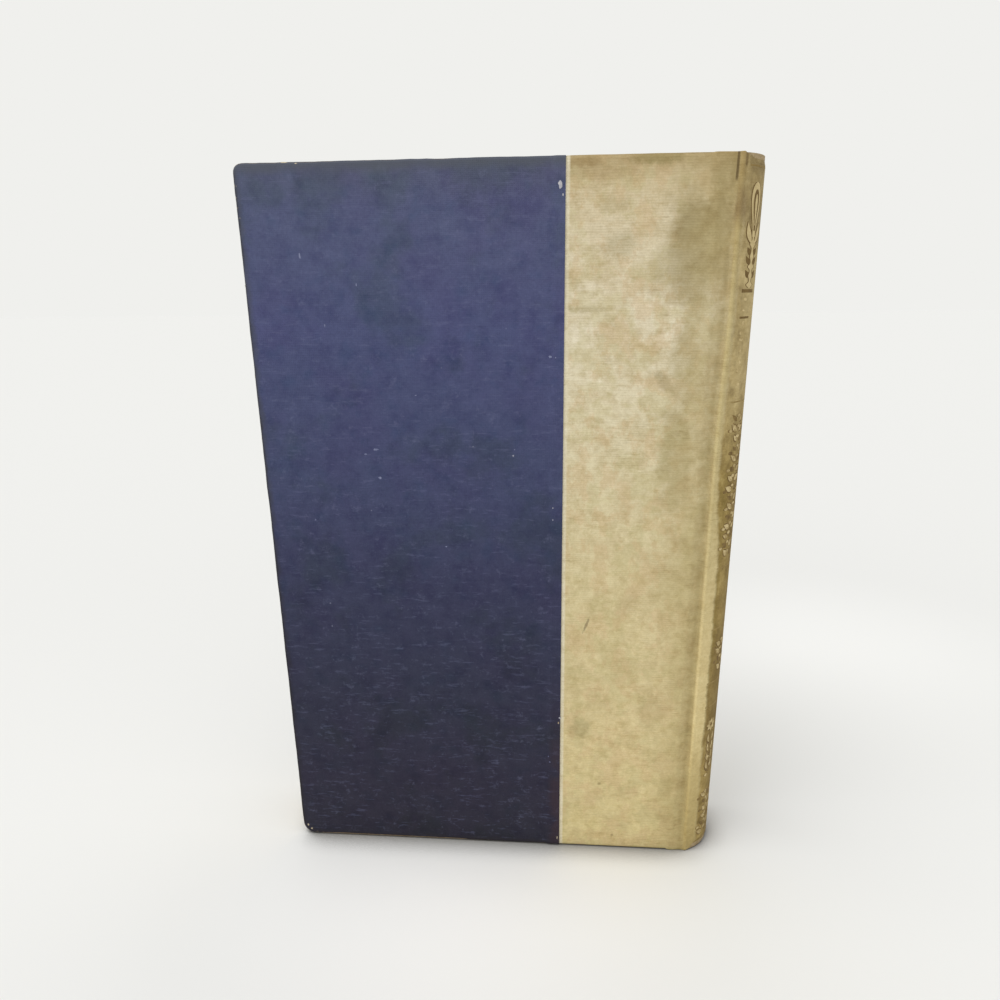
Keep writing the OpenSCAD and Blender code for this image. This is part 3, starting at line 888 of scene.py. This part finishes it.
def strip(path, widths, lift):
    """A low strip laid on the spine along a path of (distance round from the crown, Z).

    It has enough points across to follow the spine's round, and it is sunk a little into the cloth."""
    sunk, spacing = 0.06, 0.9
    run = np.gradient(path, axis=0)
    run /= np.maximum(np.linalg.norm(run, axis=1, keepdims=True), 1e-9)
    offsets = np.stack([-run[:, 1], run[:, 0]], axis=1) * np.asarray(widths)[:, None] / 2
    ways = np.linspace(1, -1, 2 + int(np.max(widths) / spacing))
    ring = [(way, lift) for way in ways] + [(way, -sunk) for way in ways[::-1]]
    count = len(ring)
    points, faces = [], []
    for centre, offset in zip(path, offsets):
        for way, height in ring:
            round_by, z = centre + way * offset
            flat = arc_point((SPINE_X, 0), SPINE_FACE_R + height, math.degrees(round_by / SPINE_R))
            points.append((flat[0], flat[1], z))
    for i in range(len(path) - 1):
        for k in range(count):
            a, b = count * i + k, count * i + (k + 1) % count
            faces.append((a, a + count, b + count, b))
    faces += [tuple(range(count)), tuple(count * (len(path) - 1) + k for k in range(count - 1, -1, -1))]
    return points, faces


def bar(low, high, z, tall):
    """A level bar round the spine between two distances from the crown, as a path and its widths."""
    places = steps(low, high, 0.4)
    return np.stack([places, np.full_like(places, z)], axis=1), np.full_like(places, tall)


def upright(at, zs):
    """A path straight up the spine, at a distance round from the crown."""
    return np.stack([np.full_like(zs, at), zs], axis=1)


def oval(at, z, wide, tall):
    """An oval knot, as a path up its height and its widths."""
    rises = np.linspace(-0.97, 0.97, 11)
    return upright(at, z + tall * rises), 2 * wide * np.sqrt(1 - rises ** 2)


def bud(low, high, at, wide):
    """A tall bud with a round top, as a path up the spine and its widths."""
    share = np.linspace(0, 1, 36)
    rounded = np.sqrt(np.clip(1 - (np.maximum(share - 0.72, 0) / 0.28) ** 2, 0.02, 1))
    return upright(at, low + (high - low) * share), wide * (0.3 + 0.7 * ease(share, 0.0, 0.7)) * rounded


def stalk(low, high, at):
    """A turned stalk that swells into knots, as a path up the spine and its widths."""
    zs = steps(low, high, 0.25)
    widths = np.full_like(zs, 0.7)
    for place, more, spread in (
        (0.06, 2.2, 0.45), (0.24, 0.9, 0.7), (0.42, 2.0, 0.5), (0.62, 0.9, 0.7), (0.86, 1.7, 0.6),
    ):
        widths += more * np.exp(-((zs - low - place * (high - low)) / spread) ** 2)
    return upright(at, zs), widths


def garland(low, high, at, pitch, dark, pale):
    """Fat leaves in pairs up a swaying line, some of them darker, with berries between."""
    dice = random.Random(int(low))
    for i, z in enumerate(np.arange(low, high, pitch)):
        middle = at + 0.5 * math.sin(z / 2.6)
        for hand in (-1, 1):
            heading = UP - hand * dice.uniform(0.8, 1.3)
            length, broad = dice.uniform(2.2, 3.0), dice.uniform(1.1, 1.6)
            tone = pale if (2 * i + hand) % 5 < 3 else dark
            tone.append(leaf((middle + 0.5 * hand, z), heading, length, 0.15 * hand, broad))
        berry_at = middle + dice.uniform(-0.6, 0.6)
        pale.append(oval(berry_at, z + 0.5 * pitch, dice.uniform(0.6, 1.0), dice.uniform(0.35, 0.55)))
        if i % 2:
            side = dice.choice((-1, 1))
            pale.append(oval(middle + 3.1 * side, z + dice.uniform(-0.6, 0.6), 0.65, 0.42))
            dark.append(oval(middle - 3.3 * side, z + dice.uniform(-0.6, 0.6), 0.8, 0.5))


def tooling_strokes():
    """The tooling of one flank: paths with widths, for level lines, dark parts, pale fills and pearls."""
    dark, pale, pearls = [], [], []

    # Head panel: a tall bud between leaves, on a stalk of knots with leaves at its sides
    pale += [bud(181.2, 193.5, PANEL_AT, 3.9), stalk(169.3, 181.2, PANEL_AT)]
    for hand in (-1, 1):
        pale.append(leaf((PANEL_AT + 0.7 * hand, 179.8), UP - 0.75 * hand, 5.2, 0.75 * hand, 1.5))
        for z, length in ((177.2, 2.2), (174.9, 2.6), (171.8, 2.4)):
            dark.append(leaf((PANEL_AT + 0.5 * hand, z), UP - 1.1 * hand, length, 0.6 * hand, 1.4))
    dark += [bar(6.2, 11.4, 168.6, 0.8), bar(7.4, 11.4, 162.2, 0.5)]

    # A string of pearls below it
    dice = random.Random(3)
    z = 166.6
    while z > 142:
        at = 10.0 + dice.uniform(-0.5, 0.5)
        pearls.append(oval(at, z, dice.uniform(0.4, 0.8), dice.uniform(0.25, 0.6)))
        z -= dice.uniform(1.2, 3.6)

    # Middle and tail panels: garlands
    for low, high, at in ((98.1, 136.7, 7.6), (62.1, 71.2, 6.2), (5.0, 21.2, 7.6)):
        garland(low, high, at, 2.7, dark, pale)

    # Lower panel: a rosette over crossed leaves
    for turn in range(8):
        away = math.radians(45 * turn)
        foot = (ROSETTE_AT + 0.6 * math.cos(away), ROSETTE_Z + 0.5 * math.sin(away))
        pale.append(leaf(foot, away, 1.7, 0.2, 1.1))
    dark.append(oval(ROSETTE_AT, ROSETTE_Z, 0.5, 0.4))
    for i, z in enumerate((27.0, 30.2, 33.4, 36.6)):
        for hand in (-1, 1):
            dark.append(leaf((CROSSED_AT, z), UP - 0.95 * hand, 4.4, 0.9 * hand, 1.2))
            pale.append(leaf((CROSSED_AT + 0.8 * hand, z + 1.3), UP - 0.6 * hand, 3.0, 0.9 * hand, 0.9))
        pale.append(oval(CROSSED_AT + 0.9 * (-1) ** i, z - 0.9, 0.8, 0.5))
    lines = [bar(-0.1, 11.9, z, 0.34) for z in (197.0, 141.0, 94.8, 76.0, 58.6, 50.6, 2.2)]
    return lines, dark, pale, pearls


def add_tooling(brown, dark, light):
    """Generic buds, leaves and berries between level lines: pale fills painted as the gilt's glint, dark
    outlines partly painted shadow.
    """
    lines, darks, fills, pearls = tooling_strokes()
    outlines = darks + [(path, np.asarray(widths) + 0.7) for path, widths in fills]
    fills = fills + pearls
    # The outline layer is partly painted shadow round the raised motifs; the pale fill and seed layers are a
    # painted glint of the gilt
    layers = (
        ("lines", brown, lines, 0.012), ("outline", dark, outlines, 0.026), ("fill", light, fills, 0.045),
        ("vein", dark, [bud(182.6, 191.9, PANEL_AT, 2.3)], 0.06),
        ("seed", light, [bud(183.8, 190.8, PANEL_AT, 1.0)], 0.075),
    )
    for name, material, strokes, lift in layers:
        points, faces = [], []
        for path, widths in strokes:
            for side in (-1, 1):
                new_points, new_faces = strip(path * (side, 1), widths, lift)
                faces += [tuple(i + len(points) for i in face) for face in new_faces]
                points += new_points
        piece = add_piece(f"spine_tooling_{name}", points, faces, material)
        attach(piece, "text_and_spine")


# Leaves and endpapers

def add_leaves(material):
    """The text block as its leaves, whose cut edges stand a little in and out of one another."""
    dice = random.Random(11)
    rows, tones = [], []
    for i in range(LEAVES):
        fore_in, head_in, tail_in = dice.uniform(0, 0.16), dice.uniform(0, 0.12), dice.uniform(0, 0.06)
        tone = dice.uniform(0, 1)
        for share, inset in ((0.03, 0.05), (0.5, 0.0), (0.97, 0.05)):
            u = -1 + 2 * (i + share) / LEAVES
            rows.append(leaf_loop(u, fore_in + inset, head_in + inset, tail_in + inset, i))
            tones.append(tone)
    loop = len(rows[0])
    points = np.array(rows).reshape(-1, 3)
    quads = [
        (r * loop + c, r * loop + (c + 1) % loop, (r + 1) * loop + (c + 1) % loop, (r + 1) * loop + c)
        for r in range(len(rows) - 1) for c in range(loop)
    ]
    for first in (True, False):
        outline = list(range(loop)) if first else list(range(len(points) - loop, len(points)))
        tail, rest = outline[:LEAF_RUN], outline[LEAF_RUN:]
        fore, rest = rest[:LEAF_RISE - 2], rest[LEAF_RISE - 2:]
        head, back = rest[:LEAF_RUN][::-1], rest[LEAF_RUN:]
        cap = [(tail[k], tail[k + 1], head[k + 1], head[k]) for k in range(1, LEAF_RUN - 2)]
        cap.append((*tail[-2:], *fore, head[-1], head[-2]))
        cap.append((head[1], head[0], *back, *tail[:2]))
        quads += flipped(cap) if first else cap
    tone = np.repeat(tones, loop)
    piece = add_piece("text_block_leaves", points, quads, material, attributes=(("leaf", tone),), crease=35)
    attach(piece, "text_and_spine")
    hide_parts("text_block")


def leaf_loop(u, fore_in, head_in, tail_in, leaf_no):
    """The outline of one leaf, from its fold at the tail round by the fore edge to its fold at the head."""
    half = BLOCK_HALF - 0.01
    flat_y = half * u
    fore = FORE_X + BLOCK_FORE - FORE_R + math.sqrt(FORE_R ** 2 - flat_y ** 2) + fore_in
    fan = (TIP_OUT - 0.03) / half
    tip_y = flat_y * fan
    fold = BACK_X + math.sqrt(BACK_R ** 2 - tip_y ** 2) - 0.25 * abs(math.sin(math.pi * 8 * u)) ** 4
    xs = np.concatenate([np.linspace(fold, FLANK_X, 9), np.linspace(FLANK_X, fore, LEAF_RUN - 8)[1:]])
    ys = flat_y * (1 + (fan - 1) * np.clip((xs - FLANK_X) / (TIP_X - FLANK_X), 0, 1))
    low, high = BLOCK_LOW + tail_in, BLOCK_HIGH - head_in
    zs = np.linspace(low, high, LEAF_RISE)[1:-1]
    wave = [0.06 * wander(0, leaf_no * 0.4, z, 25.0, 3.0) for z in zs]
    tail = [(x, y, low) for x, y in zip(xs, ys)]
    rise = [(fore + w, flat_y, z) for z, w in zip(zs, wave)]
    head = [(x, y, high) for x, y in zip(xs[::-1], ys[::-1])]
    back = [(fold, ys[0], z) for z in zs[::-1]]
    return tail + rise + head + back


def add_joint_paper(side, material):
    """The endpaper where it crosses the joint, from the block's shoulder to inside the cover."""
    tip, foot = np.array((TIP_X - 0.12, TIP_OUT + 0.40)), np.array((AXIS_X - 0.17, 8.56))
    board = np.array((JOINT_X - 0.1, HALF_T - INNER_D - 0.19))
    path = [tip + share * (foot - tip) for share in steps(0, 1, 0.2)]
    path += [
        (1 - t) ** 2 * foot + 2 * t * (1 - t) * np.array((JOINT_X + 1.6, board[1] + 0.02)) + t ** 2 * board
        for t in steps(0, 1, 0.06)[1:]
    ]
    path += [board - (d, 0) for d in steps(0, 2.0, 0.5)[1:]]
    zs = steps(BLOCK_LOW + 0.05, BLOCK_HIGH - 0.05, 5)
    points = [(p[0], p[1], z) for p in path for z in zs]
    quads = grid_quads(len(path), len(zs))
    piece = add_sheet(f"{SIDES[side]}_joint_paper", points, quads, side, JOINT_PAPER_T, material)
    (AXIS_X - 0.05) * MM
    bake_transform(piece)


# Chips and rubbed flecks on the side cloth

# Each mark is x, z, half width and half height on the back cover
RUBBED = [
    (13.2, 152.9, 0.5, 0.35), (14.6, 152.7, 0.25, 0.2), (-15.3, 100.6, 0.35, 0.25),
    (-33.5, 128.3, 0.8, 0.4), (-32.9, 120.4, 0.7, 0.45), (-36.5, 127.0, 0.4, 0.3),
    (14.4, 31.1, 0.3, 0.25), (13.9, 33.0, 0.15, 0.3), (-45.0, 161.0, 0.2, 0.5),
    (-22.0, 143.0, 0.3, 0.2), (2.0, 160.0, 0.2, 0.25), (-52.0, 108.0, 0.25, 0.3),
    (-50.0, 178.0, 0.3, 0.9), (-36.0, 171.0, 0.2, 0.5), (4.0, 128.5, 0.2, 0.2),
]
PALE = [
    (15.2, 193.4, 0.6, 1.0), (15.9, 191.2, 0.25, 0.35), (3.6, 126.9, 0.34, 0.3),
    (14.4, 112.4, 0.18, 0.26), (14.4, 109.0, 0.22, 0.3), (17.2, 46.7, 0.45, 0.4),
]
BARED = [
    # On the worn edge, where board and glue show
    (-64.75, 194.6, 0.42, 0.4), (-64.8, 192.2, 0.4, 0.6), (-64.7, 189.6, 0.36, 0.4),
    (-64.6, 187.2, 0.3, 0.35), (-65.2, 171.0, 0.16, 0.3), (-65.2, 148.0, 0.16, 0.6),
    (-65.2, 131.0, 0.2, 0.3), (-65.2, 88.0, 0.15, 0.4), (-62.6, 2.0, 0.5, 0.35),
    (-61.0, 0.75, 0.8, 0.3), (-58.8, 0.5, 0.55, 0.25), (-63.6, 3.4, 0.3, 0.5),
    (-52.0, 199.7, 1.0, 0.18), (-49.0, 199.4, 0.4, 0.15), (-40.0, 0.35, 0.7, 0.2),
    (-20.0, 0.4, 0.5, 0.2), (16.8, 45.0, 0.2, 0.5), (16.95, 3.0, 0.15, 0.8),
]


def face_out(x, z):
    """How far the side cloth's skin stands out at a place on the face, down its rounded edges too."""
    inset = min(x - FORE_X, z, BOOK_H - z)
    dropped = EDGE_R - math.sqrt(max(0.0, EDGE_R ** 2 - max(0.0, EDGE_R - max(inset, 0.0)) ** 2))
    return skin_out(x, z, side_seed(-1)) - dropped


def add_flecks(name, marks, material):
    """Small ragged marks that lie on the back cover's side cloth."""
    dice = random.Random(5)
    points, faces = [], []
    count = 11
    for x, z, wide, tall in marks:
        start = len(points)
        reaches = [dice.uniform(0.55, 1.1) for _ in range(count)]
        for ring, lift in ((1.0, -0.05), (0.9, 0.012), (0.0, 0.02)):
            for i in range(count if ring else 1):
                turn = 2 * math.pi * i / count
                reach = ring * reaches[i]
                px = max(x + wide * reach * math.cos(turn), FORE_X + 0.06)
                pz = min(max(z + tall * reach * math.sin(turn), 0.06), BOOK_H - 0.06)
                points.append((px, -(face_out(px, pz) + lift), pz))
        for i in range(count):
            j = (i + 1) % count
            faces.append((start + i, start + j, start + count + j, start + count + i))
            faces.append((start + count + i, start + count + j, start + 2 * count))
    piece = add_piece(name, points, faces, material)
    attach(piece, "back_cover")


# Floor and light

BACKGROUND = srgb(240, 240, 237)


def add_floor():
    """A pale floor that runs on to a background of its own colour."""
    mesh = bpy.data.meshes.new("floor")
    reach = 4.0
    corners = [(reach * x, reach * y, 0) for x, y in ((-1, -1), (1, -1), (1, 1), (-1, 1))]
    mesh.from_pydata(corners, [], [(0, 1, 2, 3)])
    floor = bpy.data.objects.new("floor", mesh)
    bpy.context.scene.collection.objects.link(floor)
    s = Shader("floor", roughness=1.0, specular=0.0, own_rest=False)
    s.body = (233, 233, 230)
    # Lighter tones on the floor: broadly near the book, so that the far floor meets the background, and two
    # painted pools of light, in front of the book and behind it on the right, that lift the floor where the
    # book shades it
    for x, y, wide, deep, shade in (
        (0, -50, 500, 300, (237, 237, 234)), (-14, -34, 84, 66, (255, 254, 251)),
        (135, 125, 140, 110, (243, 243, 240)),
    ):
        across, along = (s.x - x) / wide, (s.y - y) / deep
        away = s.math("SQRT", across * across + along * along)
        s.coat(s.rise(away, 1.0, 0.0), shade)

    # Contact shadow, wide and faint, then close and darker
    open_sky = s.add("AmbientOcclusion", "AO", {"Distance": 14 * MM}, samples=8)
    s.body = s.mix(s.rise(open_sky, 0.35, 0.9), (166, 164, 160), s.body)
    s.body = s.mix(s.rise(open_sky, 0.3, 0.68), (118, 116, 112), s.body)
    mesh.materials.append(s.finish())


def add_light():
    """Even light from all round, a broad soft light high on the left, and a weaker one low in front."""
    bpy.context.scene.view_settings.view_transform = "Standard"
    world = bpy.data.worlds.new("world")
    bpy.context.scene.world = world
    world.use_nodes = True
    tree = world.node_tree
    tree.nodes.clear()
    path = tree.nodes.new("ShaderNodeLightPath")
    mix = tree.nodes.new("ShaderNodeMixShader")
    out = tree.nodes.new("ShaderNodeOutputWorld")
    tree.links.new(path.outputs["Is Camera Ray"], mix.inputs[0])
    tree.links.new(mix.outputs[0], out.inputs[0])
    for slot, colour, strength in ((1, (1, 1, 1, 1), 0.76), (2, BACKGROUND, 1.0)):
        sky = tree.nodes.new("ShaderNodeBackground")
        sky.inputs["Color"].default_value = colour
        sky.inputs["Strength"].default_value = strength
        tree.links.new(sky.outputs[0], mix.inputs[slot])
    for name, energy, wide, place in (
        ("high_light", 0.86, 36, (-0.40, -0.15, 0.90)),
        ("front_light", 0.70, 60, (-0.70, -0.65, 0.30)),
    ):
        data = bpy.data.lights.new(name, "SUN")
        data.energy = energy
        data.angle = math.radians(wide)
        sun = bpy.data.objects.new(name, data)
        sun.rotation_mode = "QUATERNION"
        sun.rotation_quaternion = Vector(place).to_track_quat("Z", "Y")
        bpy.context.scene.collection.objects.link(sun)


def dress_nodes():
    """Materials for the solids that stay as they are."""
    endpaper = paper_material("endpaper", (226, 212, 178), (208, 189, 148))
    mull = woven_material("mull", (222, 214, 192), (168, 156, 128), 0.9)
    band = band_material()
    board = board_material("board", (150, 132, 104), (112, 96, 72))
    finishes = {
        "text_block": paper_material("page_paper", (230, 216, 182), (214, 196, 154)),
        "paper_lining": paper_material("kraft_paper", (176, 142, 92), (150, 116, 70)),
        "sewing_thread": woven_material("thread", (232, 224, 204), (188, 176, 148), 0.5),
        "spine_inlay": board_material("inlay_card", (182, 162, 126), (150, 130, 96)),
        "mull_lining": mull, "headband": band, "tailband": band,
    }
    for side in SIDES.values():
        finishes |= {
            f"{side}_flyleaf": endpaper, f"{side}_pastedown": endpaper,
            f"{side}_board": board, f"{side}_mull_flange": mull,
        }
    for name, material in finishes.items():
        mesh = frame["nodes"][name].data
        mesh.materials.clear()
        mesh.materials.append(material)


add_camera()
add_light()
add_floor()
dress_nodes()
blue = side_cloth_material()
cream = cream_cloth_material()
joint_paper = paper_material("joint_paper", (226, 212, 178), (208, 189, 148), own_rest=True)
for side, cover in ((-1, "back_cover"), (1, "front_cover")):
    add_side_cloth(side, cover, blue)
    add_joint_cloth(side, cream)
    add_joint_paper(side, joint_paper)
add_spine_cloth(cream)
# Tooling tones: brown lines; dark parts and outlines, partly painted shadow; pale fills, a painted glint of
# the gilt
add_tooling(
    worn_material("tooling_brown", (138, 115, 66), (158, 136, 86)),
    worn_material("tooling_dark_painted_shadow", (108, 85, 46), (136, 113, 66)),
    worn_material("tooling_pale_painted_glint", (206, 186, 137), (166, 144, 96)),
)
add_leaves(page_edge_material())
add_flecks("back_side_cloth_rubs", RUBBED, worn_material("rubbed_cloth", (124, 129, 156), (96, 101, 132)))
add_flecks("back_side_cloth_flecks", PALE, worn_material("bared_cloth", (184, 182, 184), (134, 136, 156)))
add_flecks("back_side_cloth_chips", BARED, worn_material("bared_board", (196, 184, 158), (150, 132, 106)))
